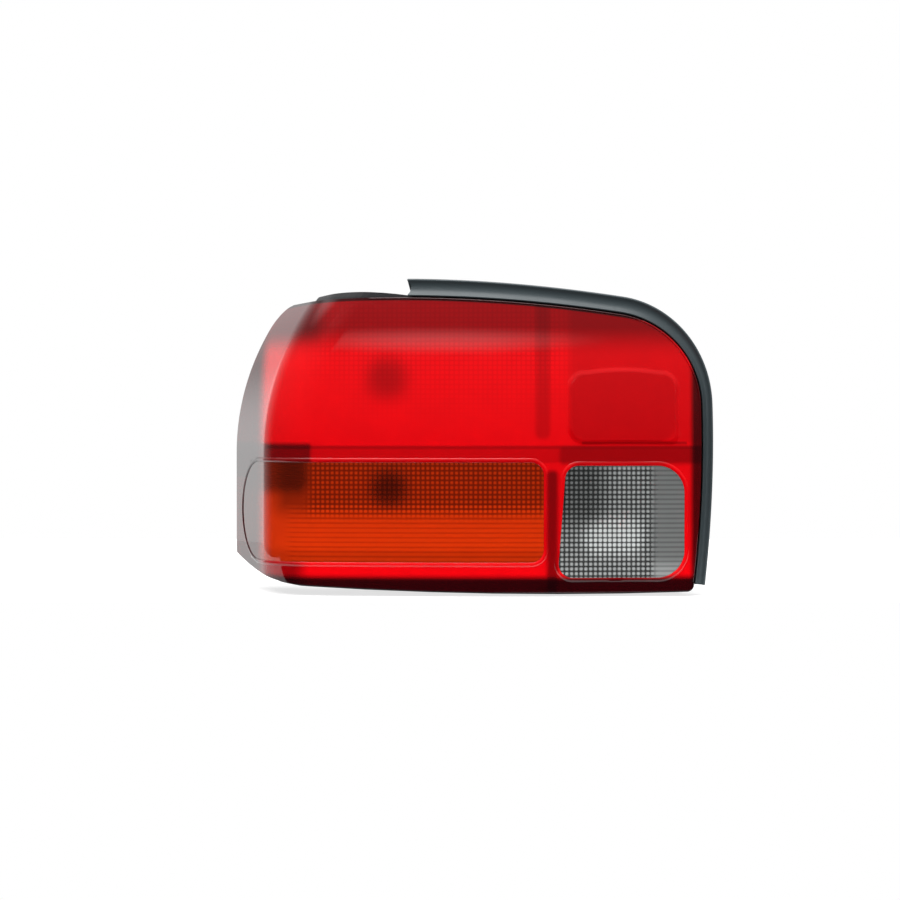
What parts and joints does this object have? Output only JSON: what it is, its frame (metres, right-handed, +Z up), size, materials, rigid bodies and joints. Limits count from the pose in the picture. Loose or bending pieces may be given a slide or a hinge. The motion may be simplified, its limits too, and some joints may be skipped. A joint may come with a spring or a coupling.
{
  "type": "tail light cluster",
  "caption": "Wrap-round rear lamp with red stop and tail lens, amber turn window, clear reversing window, black housing, bulbs in holders and a rubber trim strip.",
  "frame": {"origin": "centre of the fixing stud pattern, on the housing's rear mounting plane", "axes": "+Z up, +Y forward into the car along the studs, +X to the car's middle as seen from behind; the lens faces -Y"},
  "size_m": [0.3064, 0.0896, 0.1988],
  "materials": {
    "red_lens": "moulded red acrylic, polished outside",
    "amber_lens": "moulded amber acrylic, polished outside",
    "clear_lens": "moulded clear acrylic, fluted inside",
    "housing": "black moulded plastic, fine grain",
    "reflector": "vacuum metallised plastic",
    "screws": "zinc plated",
    "seal_bead": "butyl sealing bead",
    "trim_rubber": "satin black extruded rubber",
    "foam": "closed cell foam",
    "studs": "yellow zinc plated",
    "bulb_glass": "blown clear glass",
    "bulb_cap": "drawn brass, nickel tinged",
    "filament": "tungsten on a glass stem",
    "holder": "black moulded nylon",
    "contacts": "tinned brass strip"
  },
  "bodies": {
    "root": {"lens_red": "red_lens", "lens_amber": "amber_lens", "lens_clear": "clear_lens", "housing": "housing", "lens_seal": "seal_bead", "reflector": "reflector", "reflector_screws": "screws", "trim_strip": "trim_rubber", "body_gasket": "foam", "mounting_studs": "studs", "vent_cap": "holder", "stop_bulb_glass": "bulb_glass", "stop_bulb_cap": "bulb_cap", "stop_bulb_filament": "filament", "stop_bulb_holder": "holder", "stop_holder_seal": "foam", "stop_contacts": "contacts", "turn_bulb_glass": "bulb_glass", "turn_bulb_cap": "bulb_cap", "turn_bulb_filament": "filament", "turn_bulb_holder": "holder", "turn_holder_seal": "foam", "turn_contacts": "contacts", "reversing_bulb_glass": "bulb_glass", "reversing_bulb_cap": "bulb_cap", "reversing_bulb_filament": "filament", "reversing_bulb_holder": "holder", "reversing_holder_seal": "foam", "reversing_contacts": "contacts"}
  },
  "joints": []
}
